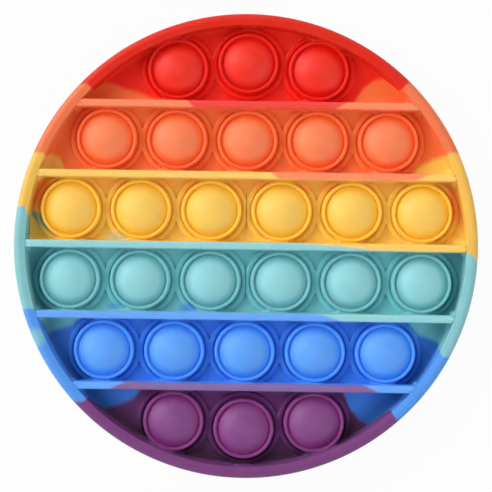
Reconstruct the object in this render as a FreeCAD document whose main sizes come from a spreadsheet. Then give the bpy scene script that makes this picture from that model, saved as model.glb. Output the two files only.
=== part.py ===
"""Round bubble-popping toy: one moulding of soft silicone, 125 mm across and 15 mm thick.

A rounded rim carries a thin web at half its height. Straight ribs cross the web, above and below,
and part it into rows. Each row holds thin-walled domes that snap through to the other side when
they are pressed. A dome hangs on a thin hinge inside a tall lip, and the lip stands on a low round
collar that melts into its neighbours and into the ribs. The back repeats the ribs, collars and
lips, with the hollow of each dome in place of its crown.

Lengths are in millimetres. The origin is the centre of the underside, +Z points to the side that
the domes stand out of, the ribs run along X, and the rows follow one another along Y.
"""

import FreeCAD, Part
import math
import os

import Sketcher

# Driving dimensions: name, value, meaning.
SIZES = [
    ("overall_diameter", 125.0, "across the outside of the rim"),
    ("overall_height", 15.0, "thickness of the toy, which is the height of the rim"),
    ("rim_width", 3.2, "radial thickness of the rim"),
    ("rim_outer_round", 1.5, "rounding of the rim's two outer edges"),
    ("rim_inner_bevel", 0.35, "bevel of the rim's two inner edges"),
    ("web_thickness", 1.6, "flat web that joins everything at half height"),
    ("pitch", 19.0, "from bubble to bubble along a row, and from row to row"),
    ("end_bubble_shift", 1.8, "how far the middle bubble of an end row sits out towards the rim"),
    ("rib_crest_width", 2.0, "thickness of a rib at its crest"),
    ("rib_foot_width", 2.4, "thickness of a rib at the middle of the web"),
    ("rib_drop", 0.4, "how far a rib stays below the rim's faces"),
    ("rib_round", 0.45, "rounding of a rib's crest edges"),
    ("dome_radius", 7.0, "outside of a dome where it leaves the groove"),
    ("dome_taper", 0.1, "how far a dome's flank leans in up to the crown"),
    ("dome_flank", 0.15, "height of a dome's flank, from the groove to the crown"),
    ("dome_rise", 2.9, "top of a dome above the bottom of the groove"),
    ("dome_wall", 1.1, "wall of a dome"),
    ("hinge_wall", 0.65, "wall of the hinge under the groove"),
    ("groove_width", 0.3, "bottom of the groove between a dome and its lip"),
    ("groove_depth", 0.9, "depth of the groove below the lip"),
    ("lip_width", 0.8, "width of the lip's flat crest"),
    ("lip_height", 2.4, "height of the lip above the collar"),
    ("lip_flare", 0.3, "how far the lip's outer flank spreads down to the collar"),
    ("collar_width", 1.6, "width of the low collar outside the lip"),
    ("collar_height", 1.0, "height of a collar above the web"),
    ("lip_in_rim", 0.5, "how far the foot of a lip may run into the rim"),
]

doc = FreeCAD.newDocument("bubble_popper")

sheet = doc.addObject("Spreadsheet::Sheet", "sizes")
for line, (name, value, meaning) in enumerate(SIZES, start=1):
    sheet.set(f"A{line}", name)
    sheet.set(f"B{line}", str(value))
    sheet.setAlias(f"B{line}", name)
    sheet.set(f"C{line}", meaning)
doc.recompute()


# Sizes that follow from the driving ones, as expressions in the sheet's cells.
OUTER_RADIUS = "sizes.overall_diameter / 2"
INNER_RADIUS = "(sizes.overall_diameter / 2 - sizes.rim_width)"
SEAT_RADIUS = "(sizes.overall_diameter / 2 - sizes.rim_width / 2)"
MIDDLE = "sizes.overall_height / 2"
COLLAR_TOP = "(sizes.web_thickness / 2 + sizes.collar_height)"
LIP_TOP = f"({COLLAR_TOP} + sizes.lip_height)"
GROOVE = f"({LIP_TOP} - sizes.groove_depth)"
HINGE = f"({GROOVE} - sizes.hinge_wall)"
LIP_INNER = "(sizes.dome_radius + sizes.groove_width)"
LIP_MIDDLE = f"({LIP_INNER} + sizes.lip_width / 2)"
LIP_OUTER = f"({LIP_INNER} + sizes.lip_width)"
LIP_FOOT = f"({LIP_OUTER} + sizes.lip_flare)"
COLLAR_RADIUS = f"({LIP_FOOT} + sizes.collar_width)"
CROWN_EDGE = "(sizes.dome_radius - sizes.dome_taper)"
CROWN_SAG = "(sizes.dome_rise - sizes.dome_flank)"
CROWN_RADIUS = f"(({CROWN_EDGE}^2 + {CROWN_SAG}^2) / (2 * {CROWN_SAG}))"


def number(expression):
    """The value that an expression in the sheet's cells has now."""
    return float(sheet.evalExpression(expression.replace("sizes.", "")))


def new_sketch(body, plane, name, shift=None):
    """A sketch on one of the body's own origin planes, moved by expressions for its x, y and z."""
    sketch = body.newObject("Sketcher::SketchObject", name)
    home = next(f for f in body.Origin.OriginFeatures if f.Role == plane)
    sketch.AttachmentSupport = [(home, "")]
    sketch.MapMode = "FlatFace"
    for axis, expression in (shift or {}).items():
        sketch.setExpression(f".AttachmentOffset.Base.{axis}", expression)
    return sketch


def arc_centre(start, end, radius, turn):
    """Centre of the arc from start to end that turns left (1) or right (-1) by less than half a turn."""
    chord = end - start
    rise = math.sqrt(max(radius**2 - (chord.Length / 2) ** 2, 0.0))
    left = FreeCAD.Vector(-chord.y, chord.x, 0).normalize()
    return (start + end) * 0.5 + left * rise * turn


def draw(sketch, outline):
    """Closes an outline of (x, y) or (x, y, radius, turn) points, each number an expression.

    A point with a radius is reached along an arc of that radius, and any other along a straight
    line. Every point and radius is constrained to its own expression.
    """
    points = [FreeCAD.Vector(number(p[0]), number(p[1]), 0) for p in outline]
    upward = FreeCAD.Vector(0, 0, 1)
    for i, step in enumerate(outline):
        start, end = points[i - 1], points[i]
        if len(step) == 2:
            edge = sketch.addGeometry(Part.LineSegment(start, end), False)
            first, last = 1, 2
        else:
            radius, turn = number(step[2]), step[3]
            centre = arc_centre(start, end, radius, turn)
            angles = [math.atan2(p.y - centre.y, p.x - centre.x) for p in (start, end)]
            first, last = (1, 2) if turn > 0 else (2, 1)
            low, high = angles if turn > 0 else reversed(angles)
            arc = Part.ArcOfCircle(Part.Circle(centre, upward, radius), low, high)
            edge = sketch.addGeometry(arc, False)
            at = sketch.addConstraint(Sketcher.Constraint("Radius", edge, radius))
            sketch.setExpression(f"Constraints[{at}]", step[2])
        for kind, value, expression in (("DistanceX", end.x, step[0]), ("DistanceY", end.y, step[1])):
            at = sketch.addConstraint(Sketcher.Constraint(kind, -1, 1, edge, last, value))
            sketch.setExpression(f"Constraints[{at}]", expression)
        if i:
            sketch.addConstraint(Sketcher.Constraint("Coincident", before, joined, edge, first))
        else:
            opening = (edge, first)
        before, joined = edge, last
    sketch.addConstraint(Sketcher.Constraint("Coincident", before, joined, *opening))


def circle(sketch, x, y, radius):
    """A circle whose centre and radius are expressions."""
    centre = FreeCAD.Vector(number(x), number(y), 0)
    edge = sketch.addGeometry(
        Part.Circle(centre, FreeCAD.Vector(0, 0, 1), number(radius)), False
    )
    for kind, where, value, expression in (
        ("DistanceX", (-1, 1, edge, 3), centre.x, x),
        ("DistanceY", (-1, 1, edge, 3), centre.y, y),
        ("Radius", (edge,), number(radius), radius),
    ):
        at = sketch.addConstraint(Sketcher.Constraint(kind, *where, value))
        sketch.setExpression(f"Constraints[{at}]", expression)


def revolve(body, sketch, name):
    """A full turn of a sketch about its own upright axis."""
    turned = body.newObject("PartDesign::Revolution", name)
    turned.Profile = sketch
    turned.ReferenceAxis = (sketch, ["V_Axis"])
    turned.Angle = 360
    return turned


def bubble_rows():
    """Rows of bubbles as (row offset, [(x, y) expressions]): as many as fit inside the rim."""
    reach = number(f"{INNER_RADIUS} + sizes.lip_in_rim - {LIP_FOOT}")
    pitch = number("sizes.pitch")
    half = math.floor(reach / pitch + 0.5)
    rows = []
    for step in [k - half + 0.5 for k in range(2 * half)]:
        count = 1 + math.floor(2 * math.sqrt(reach**2 - (step * pitch) ** 2) / pitch)
        seats = []
        for place in range(count):
            across = place - (count - 1) / 2
            y = f"{step} * sizes.pitch"
            if abs(step) > half - 1 and across == 0:
                y += f" + {math.copysign(1, step)} * sizes.end_bubble_shift"
            seats.append((f"{across} * sizes.pitch", y))
        rows.append((step, seats))
    return rows


def add_ribs(body, rows):
    """Ribs between the rows, proud of the web on both sides and seated in the middle of the rim."""
    foot = "sizes.rib_foot_width / 2"
    crest = "sizes.rib_crest_width / 2"
    top = "(sizes.overall_height - sizes.rib_drop)"
    low = "sizes.rib_drop"
    flat = f"({crest} - sizes.rib_round)"
    first = f"{rows[0][0] + 0.5} * sizes.pitch"
    section = new_sketch(body, "YZ_Plane", "rib_section", {"x": first})
    draw(
        section,
        [
            (foot, MIDDLE),
            (crest, f"{top} - sizes.rib_round"),
            (flat, top, "sizes.rib_round", 1),
            (f"-{flat}", top),
            (f"-{crest}", f"{top} - sizes.rib_round", "sizes.rib_round", 1),
            (f"-{foot}", MIDDLE),
            (f"-{crest}", f"{low} + sizes.rib_round"),
            (f"-{flat}", low, "sizes.rib_round", 1),
            (flat, low),
            (crest, f"{low} + sizes.rib_round", "sizes.rib_round", 1),
        ],
    )
    rib = body.newObject("PartDesign::Pad", "rib")
    rib.Profile = section
    rib.SideType = "Symmetric"
    rib.setExpression("Length", "sizes.overall_diameter")

    ribs = body.newObject("PartDesign::LinearPattern", "ribs")
    ribs.Originals = [rib]
    ribs.Direction = (section, ["H_Axis"])
    ribs.Mode = "Spacing"
    ribs.setExpression("Offset", "sizes.pitch")
    ribs.Occurrences = len(rows) - 1
    body.Tip = ribs

    outside = new_sketch(body, "XY_Plane", "rib_ends")
    circle(outside, "0", "0", SEAT_RADIUS)
    circle(outside, "0", "0", "sizes.overall_diameter")
    trim = body.newObject("PartDesign::Pocket", "trimmed_ribs")
    trim.Profile = outside
    trim.Type = "ThroughAll"
    trim.Midplane = True


def add_rim(body):
    """The rounded rim, turned about the toy's axis."""
    section = new_sketch(body, "XZ_Plane", "rim_section")
    outer_round = "sizes.rim_outer_round"
    bevel = "sizes.rim_inner_bevel"
    draw(
        section,
        [
            (f"{OUTER_RADIUS} - {outer_round}", "0"),
            (OUTER_RADIUS, outer_round, outer_round, 1),
            (OUTER_RADIUS, f"sizes.overall_height - {outer_round}"),
            (f"{OUTER_RADIUS} - {outer_round}", "sizes.overall_height", outer_round, 1),
            (f"{INNER_RADIUS} + {bevel}", "sizes.overall_height"),
            (INNER_RADIUS, f"sizes.overall_height - {bevel}"),
            (INNER_RADIUS, bevel),
            (f"{INNER_RADIUS} + {bevel}", "0"),
        ],
    )
    revolve(body, section, "rim")


def add_web(body, rows):
    """The flat web, seated in the rim, with a hole under the lip of every bubble."""
    plan = new_sketch(body, "XY_Plane", "web_plan", {"z": MIDDLE})
    circle(plan, "0", "0", SEAT_RADIUS)
    for _, seats in rows:
        for x, y in seats:
            circle(plan, x, y, LIP_MIDDLE)
    web = body.newObject("PartDesign::Pad", "web")
    web.Profile = plan
    web.SideType = "Symmetric"
    web.setExpression("Length", "sizes.web_thickness")


def bubble_outline():
    """Half section of a bubble, right of its axis, measured up from the middle of the web."""
    hollow = "(sizes.dome_radius - sizes.dome_wall)"
    hollow_crown = f"({CROWN_RADIUS} - sizes.dome_wall)"
    crown_top = f"{GROOVE} + sizes.dome_rise"
    hollow_edge = f"{crown_top} - {CROWN_RADIUS} + sqrt({hollow_crown}^2 - {hollow}^2)"

    return [
        # underside of the hinge and the hollow of the dome, inwards and up
        (LIP_INNER, HINGE),
        (hollow, HINGE),
        (hollow, hollow_edge),
        ("0", f"{crown_top} - sizes.dome_wall", hollow_crown, 1),
        # crown and flank of the dome, outwards and down
        ("0", crown_top),
        (CROWN_EDGE, f"{GROOVE} + sizes.dome_flank", CROWN_RADIUS, -1),
        ("sizes.dome_radius", GROOVE),
        # groove, lip and collar on the dome's side
        (LIP_INNER, GROOVE),
        (LIP_INNER, LIP_TOP),
        (LIP_OUTER, LIP_TOP),
        (LIP_FOOT, COLLAR_TOP),
        (COLLAR_RADIUS, COLLAR_TOP),
        # collar and lip on the back
        (COLLAR_RADIUS, f"-{COLLAR_TOP}"),
        (LIP_FOOT, f"-{COLLAR_TOP}"),
        (LIP_OUTER, f"-{LIP_TOP}"),
        (LIP_INNER, f"-{LIP_TOP}"),
    ]


def add_bubbles(body, rows):
    """Every row's bubbles: one turned at each place where a pattern starts, and its copies along X."""
    for index, (_, seats) in enumerate(rows, start=1):
        lines = {}
        for x, y in seats:
            lines.setdefault(y, []).append(x)
        for part, (y, places) in enumerate(lines.items(), start=1):
            name = f"row_{index}_{part}"
            shift = {"x": places[0], "y": MIDDLE, "z": f"-({y})"}
            section = new_sketch(body, "XZ_Plane", f"{name}_section", shift)
            draw(section, bubble_outline())
            bubble = revolve(body, section, f"{name}_bubble")
            if len(places) > 1:
                row = body.newObject("PartDesign::LinearPattern", f"{name}_bubbles")
                row.Originals = [bubble]
                row.Direction = (section, ["H_Axis"])
                row.Mode = "Spacing"
                row.setExpression("Offset", f"({places[1]}) - ({places[0]})")
                row.Occurrences = len(places)
                body.Tip = row


def check(doc, body):
    """Stops with a message if a feature failed or the moulding isn't one sound solid."""
    for item in doc.Objects:
        bad = {"Invalid", "Error"} & set(item.State)
        if bad:
            raise RuntimeError(f"{item.Name} is {', '.join(sorted(bad))}")
    shape = body.Shape
    if shape.isNull() or not shape.isValid():
        raise RuntimeError(f"{body.Label} has no valid shape")
    if len(shape.Solids) != 1:
        raise RuntimeError(f"{body.Label} has {len(shape.Solids)} solids and should have one")


popper = doc.addObject("PartDesign::Body", "popper")
popper.Label = "bubble_popper"
popper.AllowCompound = True
rows = bubble_rows()
add_ribs(popper, rows)
add_rim(popper)
add_web(popper, rows)
add_bubbles(popper, rows)
doc.recompute()
check(doc, popper)

os.makedirs("parts", exist_ok=True)
popper.Shape.exportStep(f"parts/{popper.Label}.step")
box = popper.Shape.optimalBoundingBox()
counts = [len(seats) for _, seats in rows]
print(f"{popper.Label}: {box.XLength:.2f} x {box.YLength:.2f} x {box.ZLength:.2f} mm")
print(f"rows {counts}, volume {popper.Shape.Volume / 1000:.2f} cm3")
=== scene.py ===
# %% [markdown]
# # A round bubble-popping toy in rainbow silicone
# The toy is one moulding of soft silicone, 125 mm across and 15 mm thick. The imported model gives
# its solid at its real size. This lesson gives that solid its soft edges and its coloured skin,
# and then looks at it from straight above. Lengths are written in millimetres and become metres
# at the end.

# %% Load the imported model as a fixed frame
import math

import bpy
import numpy as np
from mathutils import Euler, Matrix, Vector, geometry, kdtree


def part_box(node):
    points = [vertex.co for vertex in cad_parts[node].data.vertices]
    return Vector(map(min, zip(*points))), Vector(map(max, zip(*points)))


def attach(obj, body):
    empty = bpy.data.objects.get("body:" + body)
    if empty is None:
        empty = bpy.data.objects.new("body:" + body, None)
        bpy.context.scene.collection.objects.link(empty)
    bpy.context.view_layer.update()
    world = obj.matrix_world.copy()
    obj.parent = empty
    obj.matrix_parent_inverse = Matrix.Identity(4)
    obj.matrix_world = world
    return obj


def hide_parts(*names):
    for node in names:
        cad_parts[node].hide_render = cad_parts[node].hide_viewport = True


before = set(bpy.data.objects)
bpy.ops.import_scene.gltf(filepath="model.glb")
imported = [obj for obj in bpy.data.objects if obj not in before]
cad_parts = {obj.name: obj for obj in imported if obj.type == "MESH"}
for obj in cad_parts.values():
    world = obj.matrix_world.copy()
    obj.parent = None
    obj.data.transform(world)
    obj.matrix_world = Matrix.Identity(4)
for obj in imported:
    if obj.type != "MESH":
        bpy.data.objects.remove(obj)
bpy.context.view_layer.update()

MM = 0.001
low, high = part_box("bubble_popper")
RADIUS = (high.x - low.x) / 2 / MM
HEIGHT = (high.z - low.z) / MM
MIDDLE = HEIGHT / 2
print(f"the toy is {2 * RADIUS:.1f} mm across and {HEIGHT:.1f} mm thick")

# %% [markdown]
# ## How the moulding is laid out
# Silicone toys like this are pressed in a mould of two halves that meet at half height. Each half
# leaves the toy by moving straight up or down, so every wall leans a little and no wall
# overhangs. That makes each face of the toy a height over its plan, and the whole form can be
# written as one function of x and y. The bubbles sit on a square grid, with one rib between every
# two rows.

# %% Where the bubbles and ribs are
PITCH = 19.0
BUBBLES_IN_ROW = {0.5: 6, 1.5: 5, 2.5: 3}
END_SHIFT = 1.8


def bubble_centres():
    """Plan positions of all bubbles; the middle one of an end row sits a little further out."""
    places = []
    for step, count in BUBBLES_IN_ROW.items():
        for place in range(count):
            across = place - (count - 1) / 2
            out = END_SHIFT if step == max(BUBBLES_IN_ROW) and across == 0 else 0.0
            for side in (-1, 1):
                places.append((across * PITCH, side * (step * PITCH + out)))
    return np.array(places)


centres = bubble_centres()
ribs = [k * PITCH for k in range(-2, 3)]
print(f"{len(centres)} bubbles and {len(ribs)} ribs")

# %% [markdown]
# ## Sections with rounded corners
# A mould maker draws a section as straight lines and then rounds each corner with a small cutter.
# The helper below does the same. It takes corners as distance outwards, height and radius, and
# returns the line through them with every corner turned into a short arc. A bevel modifier could
# round a finished mesh, but here the points have to come first, because they say where the mesh
# needs rings.

# %% A line of corners, each turned by an arc
ARC_FINENESS = 3.0


def rounded(corners):
    """Points along corners of (distance, height, radius), with an arc at each inner corner."""
    line = np.array([c[:2] for c in corners])
    points = [line[0]]
    for before, at, after, corner in zip(line, line[1:], line[2:], corners[1:]):
        to_start = (before - at) / np.linalg.norm(before - at)
        to_end = (after - at) / np.linalg.norm(after - at)
        half = math.acos(np.clip(to_start @ to_end, -1, 1)) / 2
        turn = math.pi - 2 * half
        inward = (to_start + to_end) / np.linalg.norm(to_start + to_end)
        centre = at + inward * corner[2] / math.sin(half)
        reach = corner[2] / math.tan(half)
        first, last = at + to_start * reach - centre, at + to_end * reach - centre
        steps = max(2, round(turn * math.sqrt(corner[2]) * ARC_FINENESS))
        for share in np.linspace(0, 1, steps + 1):
            a, b = math.sin((1 - share) * turn), math.sin(share * turn)
            points.append(centre + (a * first + b * last) / math.sin(turn))
    points.append(line[-1])
    return np.array(points)


# %% [markdown]
# ## The bubble, which is the heart of the toy
# From its middle outwards a bubble has a thin domed cap, a steep flank, a narrow groove over the
# hinge, a tall lip, a narrow channel, a low rounded collar and the flat web. The thin hinge lets
# the cap snap through with a pop, and the lip keeps the web stiff round it. The back has the same
# lip and collar round the hollow of the cap. The two faces of the cap are parts of spheres about
# one point, so that the wall stays even. A lathe profile and a Screw modifier could make one
# bubble, but here the bubbles run into each other and into the walls, so the profile is kept as a
# line of heights.

# %% Section of the bubble's upper and lower face
WEB = 0.8
COLLAR = WEB + 1.0
LIP = WEB + 3.4
CAP_RISE = 6.2
CAP_CURVE = 10.0
CAP_WALL = 1.1
CAP_RINGS = 5
CROWN_SHARE = 0.9
HINGE = 3.3
HINGE_WALL = 0.65
GROOVE_EDGE = 7.2
GROOVE_CORNERS = (0.08, 0.06)
LIP_EDGE = 8.1
SEAT = [
    # distance from the bubble's middle, height above the middle plane, radius of the corner
    (7.3, LIP, 0.38),
    (LIP_EDGE, LIP, 0.38),
    (8.22, WEB + 0.4, 0.12),
    (8.5, WEB + 0.4, 0.12),
    (8.65, COLLAR, 0.3),
    (9.85, COLLAR, 0.4),
    (10.0, WEB, 0.15),
    (11.5, WEB, 0.0),
]


def bubble_section(side, curve, shoulder, foot, knuckle, floor):
    """Heights away from the middle plane along a bubble: cap, flank, and then the shared seat."""

    def cap(r):
        return side * (CAP_RISE - CAP_CURVE + math.sqrt(curve**2 - r**2))

    crown = [(r, cap(r)) for r in np.linspace(0.0, CROWN_SHARE * shoulder, CAP_RINGS + 1)]
    bends = [
        (*crown[-1], 0.0),
        (shoulder, cap(shoulder), knuckle),
        (foot, floor, GROOVE_CORNERS[0]),
        (GROOVE_EDGE, floor, GROOVE_CORNERS[1]),
    ]
    return np.vstack([crown[:-1], rounded(bends + SEAT)])


upper_section = bubble_section(
    side=1, curve=CAP_CURVE, shoulder=6.9, foot=6.99, knuckle=0.25, floor=HINGE
)
lower_section = bubble_section(
    side=-1,
    curve=CAP_CURVE - CAP_WALL,
    shoulder=5.7,
    foot=5.8,
    knuckle=0.5,
    floor=HINGE_WALL - HINGE,
)
print(f"a bubble has {len(upper_section)} rings above and {len(lower_section)} below")

# %% [markdown]
# ## Ribs and rim
# Ribs and rim are walls: a flat crest, rounded edges, a flank that leans a little, and a small
# fillet where it stands on whatever is below. The base changes along a wall, from web to collar
# to lip, so the function takes the height of the base at each point and lays the fillet on that.
# The rim's crest is slightly crowned, which gives it its soft bright line, and its outer side
# leans out to the middle plane, where the two mould halves leave their fine parting line.

# %% Walls that stand on a changing base
RIB_TOP = MIDDLE - 0.4
RIB_HALF = 1.0
RIB_EDGE = 0.45
RIB_LEAN = 0.028
RIB_FOOT = 0.4
RIM_INSIDE = RADIUS - 3.2
RIM_EDGE = 0.35
RIM_LEAN = 0.02
RIM_FOOT = 0.5
LEAST_FOOT = 0.01


def wall(base, beyond, top, edge, lean, foot):
    """Height with a wall added whose crest ends where beyond is zero."""
    over = np.clip(beyond + edge, 0, edge)
    crest = top - edge + np.sqrt(edge**2 - over**2)
    face = np.where(beyond > 0, top - edge - beyond / lean, crest)
    foot = np.clip((top - base) / 2, LEAST_FOOT, foot)
    into = np.clip(beyond - (top - edge - base) * lean, 0, foot)
    fillet = base + foot - np.sqrt(foot**2 - (foot - into) ** 2)
    return np.where(beyond > -edge, np.maximum(face, fillet), np.maximum(base, top))


print(f"ribs {2 * RIB_HALF:.1f} mm wide, rim {RADIUS - RIM_INSIDE:.1f} mm wide")

# %% [markdown]
# ## One height for every place
# Where a lip comes close to a rib or to the rim, the slit between them would need a blade in the
# mould that is too thin to last, so the toy is solid there up to just below the lip. A short ramp
# fills such slits. Then the whole face is put together: bubble, ramp, ribs, rim and outer side,
# each laid over what is already there. Boolean unions of many solids would do it too, but slowly,
# and with ragged edges where thin walls cross.

# %% The height of one face
RAMP_DROP = 0.4
RAMP_GAP = (0.6, 1.6)
RAMP_OVERLAP = 0.1
RIM_CROWN = 0.28


def from_rib(points):
    """Distance of plan points from the middle of the nearest rib."""
    return abs(points[:, 1, None] - ribs).min(axis=1)


rim_outside = rounded(
    [
        # distance from the toy's middle, height above the middle plane, radius of the corner
        (RIM_INSIDE - 0.1, MIDDLE - RIM_CROWN, 0.0),
        (RIM_INSIDE + 1.4, MIDDLE, 1.8),
        (RADIUS - 0.1, MIDDLE, 1.5),
        (RADIUS - 0.06, 0.25, 0.05),
        (RADIUS - 0.02, 0.08, 0.03),
        (RADIUS, 0.0, 0.0),
    ]
)


def lift(x, y, section):
    """Distance from the middle plane to one face of the toy, at plan positions in millimetres."""
    nearest = np.hypot(*(np.stack([x, y])[:, :, None] - centres.T[:, None, :])).min(axis=1)
    height = np.interp(nearest, *section.T)
    out = np.hypot(x, y)
    to_wall = np.minimum(from_rib(np.column_stack([x, y])) - RIB_HALF, RIM_INSIDE - out)
    gap = to_wall + nearest - LIP_EDGE
    ramp = LIP - RAMP_DROP - np.clip((gap - RAMP_GAP[0]) / np.ptp(RAMP_GAP), 0, 1) * LIP
    height = np.where(nearest > LIP_EDGE - RAMP_OVERLAP, np.maximum(height, ramp), height)
    for rib in ribs:
        height = wall(height, abs(y - rib) - RIB_HALF, RIB_TOP, RIB_EDGE, RIB_LEAN, RIB_FOOT)
    height = wall(height, RIM_INSIDE - out, MIDDLE, RIM_EDGE, RIM_LEAN, RIM_FOOT)
    return np.minimum(height, np.interp(out, *rim_outside.T))


bubble_top = lift(*centres[:1].T, upper_section)[0]
print(f"a bubble rises {bubble_top:.1f} mm above the middle plane")

# %% [markdown]
# ## A plan with its points in the right places
# A plain grid would need millions of points to follow the thin lips. Instead, points are laid
# along the lines where the form bends: rings round the bubbles, lines along the ribs and rings
# along the rim. A few more fill the flat web. The toy is the same in all four quarters, so one is
# enough here.

# %% Lay out the lines of one quarter
BUBBLE_SIDES = {5.0: 40, 2.0: 20, 0.0: 12}      # beyond these radii
RIM_SIDES = 288
RIB_STATION = 1.6
RIB_CLEAR = 0.25
RIM_CLEAR = 0.1
SNAP = 1e-6


def ring(centre, radius, sides):
    """Points round a centre, in order of angle."""
    angles = np.linspace(0, 2 * math.pi, sides, endpoint=False)
    points = np.column_stack([np.cos(angles), np.sin(angles)]) * radius + centre
    points[abs(points) < SNAP] = 0.0
    return points


def wall_bends(top, half, edge, lean, foot):
    """Distances from a wall's middle at which its section bends."""
    flank = half + lean * (top - WEB)
    corners = [(0, top, 0), (half, top, edge), (flank, WEB, foot), (PITCH / 2, WEB, 0)]
    return rounded(corners)[:-1, 0]


rib_bends = wall_bends(RIB_TOP, RIB_HALF, RIB_EDGE, RIB_LEAN, RIB_FOOT)
rim_bends = wall_bends(MIDDLE, RIB_HALF, RIM_EDGE, RIM_LEAN, RIM_FOOT)[1:]
rim_bends = RIM_INSIDE - (rim_bends - RIB_HALF)
rim_foot = rim_bends.min()
print(f"a rib bends in {len(rib_bends)} lines a side, the rim's inner wall in {len(rim_bends)}")


def rim_lines():
    """Rings from the fillet at the rim's foot out to the parting line."""
    for radius in [*rim_bends, *rim_outside[1:, 0]]:
        points = ring((0, 0), radius, RIM_SIDES)
        on_web = from_rib(points) > rib_bends.max()
        yield points, on_web | (radius > RIM_INSIDE - RIM_LEAN)


def rib_lines():
    """Lines along the ribs, from one side of the rim to the other."""
    for rib in ribs:
        for y in sorted({rib + side * bend for bend in rib_bends for side in (-1, 1)}):
            end = math.sqrt((RIM_INSIDE - RIM_LEAN) ** 2 - y**2)
            x = np.linspace(0, end, round(end / RIB_STATION) + 1)
            yield np.column_stack([x, np.full_like(x, y)]), x >= 0


def bubble_lines(section):
    """Rings round the bubbles, kept off the walls and off the neighbours' rings."""
    for centre in centres[(centres >= 0).all(axis=1)]:
        yield centre[None], np.array([True])
        others = centres[(centres != centre).any(axis=1)]
        for radius in section[1:-1, 0]:
            sides = next(sides for start, sides in BUBBLE_SIDES.items() if radius > start)
            points = ring(centre, radius, sides)
            to_other = np.hypot(*(points[:, None] - others[None]).transpose(2, 0, 1)).min(axis=1)
            clear = (from_rib(points) > RIB_HALF + RIB_CLEAR) & (to_other > radius)
            yield points, clear & (np.hypot(*points.T) < rim_foot - RIM_CLEAR)


# %% [markdown]
# ## From lines to a skin
# Blender's Delaunay routine joins the points into triangles and keeps the given lines as edges.
# Each plan is then lifted to its face and mirrored into the other three quarters. The two faces
# share their outermost ring, which is the parting line, so they can be welded to one closed skin.

# %% Triangulate a quarter and lift it
FILL_STATION = 2.4
FILL_GAP = 1.1
PLAN_WELD = 1e-4


def quarter_plan(section):
    """Plan vertices and triangles of one quarter."""
    points, edges = [], []
    for lines in (rim_lines(), rib_lines(), bubble_lines(section)):
        for line, kept in lines:
            before = None
            for point, keep in zip(line, kept & (line >= 0).all(axis=1)):
                if keep:
                    points.append(tuple(point))
                    if before is not None:
                        edges.append((before, len(points) - 1))
                before = len(points) - 1 if keep else None
    near = kdtree.KDTree(len(points))
    for k, point in enumerate(points):
        near.insert((*point, 0), k)
    near.balance()
    for k, y in enumerate(np.arange(0, RIM_INSIDE, FILL_STATION * math.sqrt(3) / 2)):
        for x in np.arange(FILL_STATION / 2 * (k % 2), RIM_INSIDE, FILL_STATION):
            if math.hypot(x, y) < RIM_INSIDE and near.find((x, y, 0))[2] > FILL_GAP:
                points.append((x, y))
    plan, _, triangles, *_ = geometry.delaunay_2d_cdt(
        [Vector(p) for p in points], edges, [], 0, PLAN_WELD
    )
    return np.array(plan), np.array(triangles)


def skin():
    """Vertices in metres and triangles of both faces in all four quarters."""
    vertices, triangles, count = [], [], 0
    for side, section in ((1, upper_section), (-1, lower_section)):
        plan, faces = quarter_plan(section)
        height = MIDDLE + side * lift(*plan.T, section)
        for across in (1, -1):
            for along in (1, -1):
                vertices.append(np.column_stack([plan * (across, along), height]) * MM)
                turned = faces if across * along * side > 0 else faces[:, ::-1]
                triangles.append(turned + count)
                count += len(plan)
    return np.vstack(vertices), np.vstack(triangles)


# %% [markdown]
# ## Weld the quarters
# The quarters meet point for point on the two axes, and the two faces meet on the parting line.
# Merging points that coincide turns them into one skin. The print says whether the skin is
# closed, which the light inside the silicone needs.

# %% Build the mesh
import bmesh

WELD = 2e-6


def build_mesh(name):
    """A welded, smoothly shaded mesh object of the whole moulding."""
    vertices, triangles = skin()
    mesh = bpy.data.meshes.new(name)
    mesh.from_pydata(vertices.tolist(), [], triangles.tolist())
    work = bmesh.new()
    work.from_mesh(mesh)
    bmesh.ops.remove_doubles(work, verts=work.verts, dist=WELD)
    bmesh.ops.dissolve_degenerate(work, edges=work.edges, dist=WELD / 10)
    open_edges = sum(not edge.is_manifold for edge in work.edges)
    work.to_mesh(mesh)
    work.free()
    mesh.shade_smooth()
    print(f"{len(mesh.polygons)} triangles, {open_edges} open edges")
    piece = bpy.data.objects.new(name, mesh)
    bpy.context.scene.collection.objects.link(piece)
    return piece


toy = build_mesh("bubble_popper_moulding")
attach(toy, "root")
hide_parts("bubble_popper")

# %% [markdown]
# ## Colours that meet where they flowed
# Before the mould closes, strips of coloured silicone are laid in it side by side. They flow
# together under pressure, so each seam between two colours wanders about the rib that it was laid
# along, and climbs or drops where it meets the rim. Painting an image would need a picture file.
# Curves in the material's own nodes need none, and they follow the form in every view. The
# helpers here keep the long list of nodes readable.

# %% Small helpers for shader nodes
def srgb(red, green, blue):
    """A display colour from 0 to 255 as the linear colour that Blender wants."""
    values = np.array([red, green, blue]) / 255
    linear = np.where(values <= 0.04045, values / 12.92, ((values + 0.055) / 1.055) ** 2.4)
    return (*linear, 1.0)


def node(tree, kind, *inputs, **settings):
    """A shader node whose first inputs are fed by numbers, colours or other nodes' outputs."""
    made = tree.nodes.new("ShaderNode" + kind)
    for name, value in settings.items():
        setattr(made, name, value)
    for socket, source in zip(made.inputs, inputs):
        if isinstance(source, bpy.types.NodeSocket):
            tree.links.new(source, socket)
        elif source is not None:
            socket.default_value = source
    return made


def maths(tree, operation, *inputs):
    """The output of a Math node."""
    return node(tree, "Math", *inputs, operation=operation).outputs[0]


def mapped(tree, source, *ends, **settings):
    """The output of a Map Range node, which goes from 0 to 1 unless ends say otherwise."""
    return node(tree, "MapRange", source, *ends, **settings).outputs[0]


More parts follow.
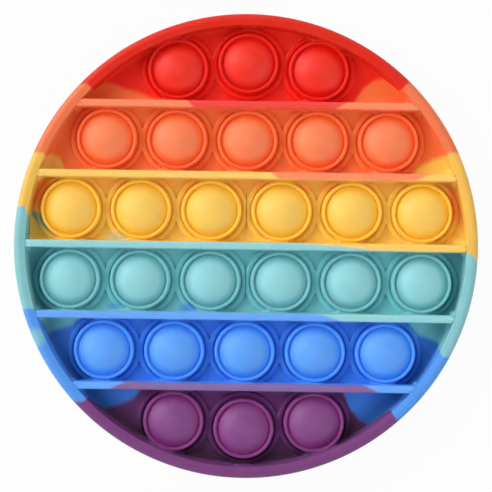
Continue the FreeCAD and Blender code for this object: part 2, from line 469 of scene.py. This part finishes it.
def curve_value(tree, source, spots):
    """The output of a curve that goes through the spots, each between 0 and 1 both ways."""
    curve = node(tree, "FloatCurve", 1.0, source)
    points = curve.mapping.curves[0].points
    for k, spot in enumerate(spots):
        if k < 2:
            points[k].location = spot
        else:
            points.new(*spot)
        points[k].handle_type = "VECTOR"
    curve.mapping.update()
    return curve.outputs[0]


def mixed(tree, share, first, second):
    """The output of a colour mix."""
    mix = tree.nodes.new("ShaderNodeMix")
    mix.data_type = "RGBA"
    for name, source in (("Factor_Float", share), ("A_Color", first), ("B_Color", second)):
        socket = next(s for s in mix.inputs if s.identifier == name)
        if isinstance(source, bpy.types.NodeSocket):
            tree.links.new(source, socket)
        else:
            socket.default_value = source
    return next(s for s in mix.outputs if s.identifier == "Result_Color")


# %% [markdown]
# ## Six colours in four shades
# Each band has four shades, written as plain display colours. Three of them are painted light and
# shade: a deeper painted shade on the lips and grooves, painted light on the caps and crests where
# they stand proud, and in the corners by the rim a painted shade, deep in the cool colours while
# the warm ones keep their glow. One hue with a darkening mask would be shorter, but these shades
# also shift in hue as they get deeper.

# %% The six colours
BANDS = {
    # in the corners by the rim (painted shade), on the webs, on the lips and grooves (painted
    # shade), on the caps and crests (painted light)
    "red": (srgb(244, 34, 14), srgb(246, 38, 16), srgb(230, 20, 6), srgb(240, 40, 14)),
    "orange": (srgb(254, 126, 64), srgb(255, 138, 72), srgb(254, 111, 53), srgb(254, 133, 84)),
    "yellow": (srgb(255, 212, 98), srgb(255, 212, 98), srgb(255, 198, 63), srgb(253, 203, 93)),
    "teal": (srgb(86, 160, 169), srgb(132, 207, 213), srgb(117, 187, 193), srgb(145, 209, 214)),
    "blue": (srgb(32, 98, 174), srgb(68, 142, 236), srgb(73, 151, 246), srgb(93, 164, 248)),
    "purple": (srgb(68, 30, 68), srgb(112, 50, 118), srgb(138, 59, 130), srgb(133, 69, 135)),
}
print(f"{len(BANDS)} bands: {', '.join(BANDS)}")

# %% [markdown]
# ## Five seams
# A seam is a curve of y over x, in millimetres from its rib. The colours flowed further on the
# thin web than up the walls, so each seam has one curve low down and another on the crests and
# the whole rim. On the web the colours also mingle more, so the change is softer there. A ramp
# across the toy would give straight stripes, and a curve's points can follow every climb and
# drop.

# %% The five seams between the colours
SEAM_SPAN = 12.0
SEAM_BLUR = (1.0, 0.5)
SEAMS = [
    # rib, then x and y from the rib's middle: low down on the web, and on the crests and the rim
    (2, [(-62, 7.0), (-42, 6.4), (-36, 5.2), (-31, 3.5), (-26, 1.8), (-21, 0), (28, 0),
         (29.5, 2.6), (31.5, 5.2), (34, 7.4), (38, 8.8), (62, 9.5)],
     [(-62, 5.5), (-43, 5.0), (-40, 1.2), (-16.5, 1.2), (-14.5, -1.2), (23, -1.2), (27, 1.2),
      (40, 3.5), (43, 6.5), (62, 7)]),
    (1, [(-62, 6.0), (-54, 5.6), (-51, 4.4), (-49.7, 2.0), (-49, 0), (43, 0), (46, 2.4),
         (50, 5.0), (54, 6.6), (62, 7.5)],
     [(-62, 5.5), (-55, 5.2), (-50, 1.2), (6, 1.2), (8.5, -0.9), (45, -0.9), (50, 1.2),
      (54, 6.8), (62, 7)]),
    (0, [(-62, 9.0), (-59.2, 8.0), (-58.4, 0), (62, 0)],
     [(-62, 10.0), (-59.5, 10.0), (-57, 1.2), (13, 1.2), (26, 0.3), (36, -0.9), (57, -1.2),
      (60.5, -1.2), (62, -3.2)]),
    (-1, [(-62, -5.0), (-53, -5.0), (-47, -3.2), (-44.5, -1.2), (-43.5, 0), (43.5, 0),
          (44.6, -1.8), (46, -3.7), (49, -5.3), (53, -6.8), (62, -9.0)],
     [(-62, 1.3), (19, 1.2), (27, -1.2), (50, -1.2), (53, -10.0), (62, -10.0)]),
    (-2, [(-62, -6.0), (-41, -6.6), (-37, -6.4), (-32, -4.8), (-29.5, -3.2), (-28, -1.3),
          (-27.6, 0), (26.4, 0), (27.2, -1.8), (28, -4.0), (29.4, -6.6),
          (31.4, -8.8), (34.5, -10.6), (62, -11)],
     [(-62, -4.4), (-43, -4.4), (-40, -1.5), (-37, -1.3), (-31.5, 1.3), (31.5, 1.3),
      (37, -1.3), (38, -3.0), (41, -8.0), (62, -8)]),
]


def seam_share(tree, x, y, crest, rib, low, high):
    """1 below a seam and 0 above it, with a soft change between."""
    across = mapped(tree, x, -RADIUS, RADIUS)
    curves = []
    for places in (low, high):
        spots = [((a + RADIUS) / (2 * RADIUS), b / (2 * SEAM_SPAN) + 0.5) for a, b in places]
        curves.append(curve_value(tree, across, spots))
    curve = node(tree, "Mix", crest, None, *curves).outputs[0]
    seam = maths(tree, "MULTIPLY_ADD", curve, 2 * SEAM_SPAN, rib * PITCH - SEAM_SPAN)
    under = maths(tree, "SUBTRACT", seam, y)
    wide, fine = SEAM_BLUR
    blur = maths(tree, "MULTIPLY_ADD", crest, fine - wide, wide)
    under = maths(tree, "DIVIDE", under, blur)
    return mapped(tree, under, -1.0, 1.0, interpolation_type="SMOOTHSTEP")


print(f"{sum(len(low) + len(high) for _, low, high in SEAMS)} points on {len(SEAMS)} seams")

# %% [markdown]
# ## Tongues of colour
# In some places a little silicone ran ahead of its seam, or was pushed under a rib into the next
# row. Each such tongue is an oval of the neighbour's colour with a soft edge. Most of them are on
# the web only. A Mapping node of the texture kind turns the oval into a circle, so its distance
# is one length.

# %% Small tongues of colour beside the seams
TONGUE_EDGE = (1.25, 0.6)
TONGUES = [
    # colour, x, y, half length, half width, turn in degrees, share, on the webs only
    ("teal", -56.2, 6.6, 4.6, 1.2, -44, 0.75, True),
    ("teal", -35.2, 2.3, 3.6, 1.1, 0, 0.4, True),
    ("orange", 57.0, 12.0, 5.5, 2.6, -80, 0.7, True),
    ("orange", -56.0, 13.8, 5.0, 2.6, 75, 0.7, True),
    ("orange", 0.0, 16.8, 58.0, 2.6, 0, 0.3, True),
    ("blue", -35.5, -16.9, 1.9, 1.1, 0, 0.45, True),
    ("blue", -15.0, -16.7, 2.9, 1.4, 0, 0.6, True),
    ("teal", -56.0, -25.4, 2.8, 2.2, -66, 0.75, False),
    ("blue", -0.5, -38.0, 40.0, 1.8, 0, 0.16, False),
]


def tongue_share(tree, place, web, x, y, length, width, turn, share, low_only):
    """How much of a tongue's colour shows: most in its middle, none outside its oval."""
    oval = node(tree, "Mapping", place, vector_type="TEXTURE")
    oval.inputs["Location"].default_value = (x, y, 0.0)
    oval.inputs["Rotation"].default_value = (0.0, 0.0, math.radians(turn))
    oval.inputs["Scale"].default_value = (length, width, 1.0)
    away = node(tree, "VectorMath", oval.outputs[0], operation="LENGTH").outputs["Value"]
    inside = mapped(tree, away, *TONGUE_EDGE, 0.0, share)
    return maths(tree, "MULTIPLY", inside, web) if low_only else inside


print(f"{len(TONGUES)} tongues")

# %% [markdown]
# ## Where each shade belongs
# A material can't ask whether a place is a rib or a web, but it can ask how far it is from the
# middle plane and from the toy's middle. Map Range nodes turn these two distances into soft
# masks: one says where painted shade goes, in the corners by the rim, and one where painted light
# goes, on the raised places and the whole rim. The whole rim counts as a crest, so that the seams
# run straight down its outer side. Painted vertex groups could hold the same masks, but they would
# be as coarse as the mesh.

# %% Masks from two distances
RIM_FADE = (0.6, 0.1)
# reach of the painted shade in the corners by the rim
CORNER_SHADE_REACH = (7.0, 2.0)
CREST = (4.8, 5.8)
# heights from which painted light lightens the raised places
PAINTED_LIGHT_FROM = (3.9, 4.9)
WEB_ONLY = (2.2, 3.2)


def masks(tree, x, y, away):
    """Masks of the rim, the corners beside it for painted shade, the crests, the raised places for
    painted light, and the webs.
    """
    plan = node(tree, "CombineXYZ", x, y).outputs[0]
    out = node(tree, "VectorMath", plan, operation="LENGTH").outputs["Value"]
    rim = mapped(tree, out, *(RIM_INSIDE - reach for reach in RIM_FADE))
    # where the painted shade by the rim goes
    corner = mapped(tree, out, *(RIM_INSIDE - reach for reach in CORNER_SHADE_REACH))
    crest = maths(tree, "MAXIMUM", mapped(tree, away, *CREST), rim)
    # where the painted light goes: the raised places and the whole rim
    painted_light_mask = maths(tree, "MAXIMUM", mapped(tree, away, *PAINTED_LIGHT_FROM), rim)
    web = mapped(tree, away, *WEB_ONLY, 1.0, 0.0)
    web = maths(tree, "MINIMUM", web, maths(tree, "SUBTRACT", 1.0, rim))
    return rim, corner, crest, painted_light_mask, web


# %% [markdown]
# ## All the colours together
# Each band is mixed from its web colour, its painted shades and its painted light, the bands are
# laid over each other from red to purple, and the tongues come last. A slow noise shifts y a
# little before the seams are looked up, so that they sway as flowing silicone does, and more so on
# the webs. Every scale is in millimetres.

# %% Bands, seams and tongues
SWAY_SCALE = 0.25
SWAY = (1.8, 0.6)       # on the webs and elsewhere


def noise(tree, in_mm, scale, detail):
    """The output of a noise with so many waves a millimetre."""
    return node(tree, "TexNoise", in_mm, None, scale, detail).outputs[0]


def bands(tree, in_mm, x, y, away):
    """The colour of every place, and the mask of the rim."""
    rim, corner, crest, painted_light_mask, web = masks(tree, x, y, away)
    shades = []
    # painted shade in the corners and on the lips and grooves, painted light on the caps and
    # crests
    for corner_painted_shade, thin, lip_painted_shade, cap in BANDS.values():
        low = mixed(tree, corner, thin, corner_painted_shade)
        shades.append(mixed(tree, web, mixed(tree, painted_light_mask, lip_painted_shade, cap), low))
    wide, fine = SWAY
    sway = maths(tree, "SUBTRACT", noise(tree, in_mm, SWAY_SCALE, 2.0), 0.5)
    reach = maths(tree, "MULTIPLY_ADD", web, wide - fine, fine)
    y = maths(tree, "ADD", y, maths(tree, "MULTIPLY", sway, reach))
    colour = shades[0]
    for shade, seam in zip(shades[1:], SEAMS):
        colour = mixed(tree, seam_share(tree, x, y, crest, *seam), colour, shade)
    place = node(tree, "CombineXYZ", x, y).outputs[0]
    for name, *tongue in TONGUES:
        shade = shades[list(BANDS).index(name)]
        colour = mixed(tree, tongue_share(tree, place, web, *tongue), colour, shade)
    return colour, rim


# %% [markdown]
# ## Painted light on the ribs, painted shade on the rim, and cloudy pigment
# The ribs' crests, and a little the cap tops, get some white mixed in as painted light. The whole
# rim is painted deeper than the thin caps, a painted shade for the light that the thick rim lets
# through less. The pigment is not stirred in perfectly either, so a noise makes the whole colour
# slightly cloudy. These differences are small, but a skin without them looks like plastic.

# %% Small differences in the colour
RIB_CREST = (5.8, 6.8)
# white mixed into the crests as painted light
RIB_PAINTED_LIGHT = 0.05
# painted shade over the whole rim
RIM_PAINTED_SHADE = 0.14
CLOUD_SCALE = 0.22
CLOUDING = (0.97, 1.03)
NOISE_SPAN = (0.3, 0.7)
WHITE = (1.0, 1.0, 1.0, 1.0)


def painted_light_and_cloud(tree, colour, rim, in_mm, away):
    """The colour with painted light on the rib crests, painted shade on the rim, and slightly
    cloudy.
    """
    # painted light on the crests, none on the rim
    crest_painted_light = mapped(tree, away, *RIB_CREST, 0.0, RIB_PAINTED_LIGHT)
    crest_painted_light = node(tree, "Mix", rim, None, crest_painted_light, 0.0).outputs[0]
    colour = mixed(tree, crest_painted_light, colour, WHITE)
    cloud_and_rim_shade = mapped(tree, noise(tree, in_mm, CLOUD_SCALE, 3.0), *NOISE_SPAN, *CLOUDING)
    # painted shade on the rim, on top of the cloudy pigment
    cloud_and_rim_shade = maths(tree, "MULTIPLY_ADD", rim, -RIM_PAINTED_SHADE, cloud_and_rim_shade)
    return node(tree, "HueSaturation", None, None, cloud_and_rim_shade, None, colour).outputs[0]


# %% [markdown]
# ## Satin silicone
# Light enters silicone and comes out again a little way off, which softens the small edges and
# makes the grooves glow in their own colour. Subsurface scattering does this, and its reach
# follows the colour, because red light travels furthest. The satin of the mould varies from patch
# to patch, and a fine grain in the bump breaks up the highlights.

# %% Satin silicone
SATIN_SCALE = 0.5
SATIN = (0.38, 0.52)
GRAIN_SCALE = 2.2
GRAIN_STRENGTH = 0.5
GRAIN_DEPTH = 0.08
SILICONE_IOR = 1.41
SPREADING = 0.5
SPREAD_REACH = 1.2


def silicone():
    """The material: six bands, light that spreads under the skin, and a fine satin grain."""
    material = bpy.data.materials.new("rainbow_silicone")
    material.use_nodes = True
    tree = material.node_tree
    tree.nodes.clear()
    in_mm = node(tree, "VectorMath", node(tree, "TexCoord").outputs["Object"], operation="SCALE")
    in_mm.inputs["Scale"].default_value = 1 / MM
    in_mm = in_mm.outputs[0]
    x, y, z = node(tree, "SeparateXYZ", in_mm).outputs
    away = maths(tree, "ABSOLUTE", maths(tree, "SUBTRACT", z, MIDDLE))
    colour, rim = bands(tree, in_mm, x, y, away)
    colour = painted_light_and_cloud(tree, colour, rim, in_mm, away)
    rough = mapped(tree, noise(tree, in_mm, SATIN_SCALE, 4.0), *NOISE_SPAN, *SATIN)
    grain = noise(tree, in_mm, GRAIN_SCALE, 4.0)
    bump = node(tree, "Bump", GRAIN_STRENGTH, GRAIN_DEPTH * MM, None, grain)
    shader = node(tree, "BsdfPrincipled")
    tree.links.new(colour, shader.inputs["Base Color"])
    tree.links.new(rough, shader.inputs["Roughness"])
    tree.links.new(bump.outputs[0], shader.inputs["Normal"])
    tree.links.new(colour, shader.inputs["Subsurface Radius"])
    shader.inputs["IOR"].default_value = SILICONE_IOR
    shader.inputs["Subsurface Weight"].default_value = SPREADING
    shader.inputs["Subsurface Scale"].default_value = SPREAD_REACH * MM
    node(tree, "OutputMaterial", shader.outputs[0])
    print(f"{len(tree.nodes)} nodes in the silicone")
    return material


toy.data.materials.append(silicone())

# %% [markdown]
# ## A plain white studio
# The toy lies on a white table. The table is plain white paint, but for the camera and in
# reflections it is mixed with white that gives its own light, so that it shows as clean white and
# still keeps the soft shadow. More light would whiten it too, but the toy's colours would wash
# out.

# %% The table
PAINT = (0.8, 0.8, 0.8, 1.0)
TABLE_GLOW = 0.95
TABLE_RADIUS = 3.0      # metres
TABLE_SIDES = 96


def floor_material():
    """White paint that the camera sees as nearly pure white."""
    material = bpy.data.materials.new("white_table")
    material.use_nodes = True
    tree = material.node_tree
    tree.nodes.clear()
    paint = node(tree, "BsdfDiffuse", PAINT)
    glow = node(tree, "Emission", WHITE, 1.0)
    path = node(tree, "LightPath").outputs
    seen = maths(tree, "MAXIMUM", path["Is Camera Ray"], path["Is Glossy Ray"])
    share = maths(tree, "MULTIPLY", seen, TABLE_GLOW)
    mix = node(tree, "MixShader", share, paint.outputs[0], glow.outputs[0])
    node(tree, "OutputMaterial", mix.outputs[0])
    return material


def floor():
    """A wide round table top just under the toy."""
    work = bmesh.new()
    bmesh.ops.create_circle(work, cap_ends=True, segments=TABLE_SIDES, radius=TABLE_RADIUS)
    mesh = bpy.data.meshes.new("table_top")
    work.to_mesh(mesh)
    work.free()
    top = bpy.data.objects.new("table_top", mesh)
    bpy.context.scene.collection.objects.link(top)
    mesh.materials.append(floor_material())
    print(f"a table {2 * TABLE_RADIUS:.0f} m across")
    return top


floor()

# %% [markdown]
# ## Light from all round
# The bright sides of the domes and of the rim show where the light came from: a soft box at the
# upper left, a weaker one at the lower right, and white all round, but little from straight
# above, where the camera looks in. Area lamps could do this. A world needs only a few nodes for
# the same, and its light has no near side and far side, so all bubbles are lit alike. The camera
# itself sees plain white.

# %% Soft light from all round
TENT = [(0.0, 0.0), (0.5, 1.0), (0.63, 1.0), (0.93, 0.0), (1.0, 0.0)]
TENT_LEVEL = 1.03
SOFT_BOXES = [
    # strength, direction and height in degrees, and how narrow it is
    (5.31, 155.0, 33.0, 14.0),
    (1.26, -30.0, 42.0, 14.0),
]


def studio():
    """A world like a white tent with an opening overhead and two soft boxes outside it."""
    world = bpy.data.worlds.new("studio")
    world.use_nodes = True
    tree = world.node_tree
    tree.nodes.clear()
    look = node(tree, "TexCoord").outputs["Generated"]
    up = node(tree, "SeparateXYZ", look).outputs[2]
    level = maths(tree, "MULTIPLY", curve_value(tree, up, TENT), TENT_LEVEL)
    for strength, turn, height, narrow in SOFT_BOXES:
        aim = Vector((math.cos(math.radians(height)), 0.0, math.sin(math.radians(height))))
        aim.rotate(Euler((0.0, 0.0, math.radians(turn))))
        near = node(tree, "VectorMath", look, aim, operation="DOT_PRODUCT").outputs["Value"]
        glow = maths(tree, "EXPONENT", maths(tree, "MULTIPLY_ADD", near, narrow, -narrow))
        level = maths(tree, "MULTIPLY_ADD", glow, strength, level)
    light = node(tree, "Background", WHITE, level)
    white = node(tree, "Background", WHITE, 1.0)
    seen = node(tree, "LightPath").outputs["Is Camera Ray"]
    mix = node(tree, "MixShader", seen, light.outputs[0], white.outputs[0])
    node(tree, "OutputWorld", mix.outputs[0])
    print(f"{len(SOFT_BOXES)} soft boxes in the tent")
    return world


bpy.context.scene.world = studio()

# %% [markdown]
# ## Looking straight down
# The photograph shows the toy from straight above, from about half a metre, turned by less than
# one degree. The ribs, which stand higher than the webs, look a little larger than the grid of
# bubbles, and that difference gives the camera's distance.

# %% Camera
CAMERA_ABOVE = 560.0
VIEW_WIDTH = 132.3
VIEW_LEVEL = 13.5
TURN = 0.0142
SENSOR = 36.0
FAR = 10.0              # metres

distance = CAMERA_ABOVE + HEIGHT - VIEW_LEVEL
camera = bpy.data.cameras.new("camera")
camera.sensor_width = SENSOR
camera.lens = SENSOR * distance / VIEW_WIDTH
camera.clip_end = FAR
stand = bpy.data.objects.new("camera", camera)
stand.location = (0, 0, (HEIGHT + CAMERA_ABOVE) * MM)
stand.rotation_euler = (0, 0, TURN)
bpy.context.scene.collection.objects.link(stand)
bpy.context.scene.camera = stand
bpy.context.scene.view_settings.view_transform = "Standard"
print(f"camera {CAMERA_ABOVE:.0f} mm above the toy, lens {camera.lens:.0f} mm")
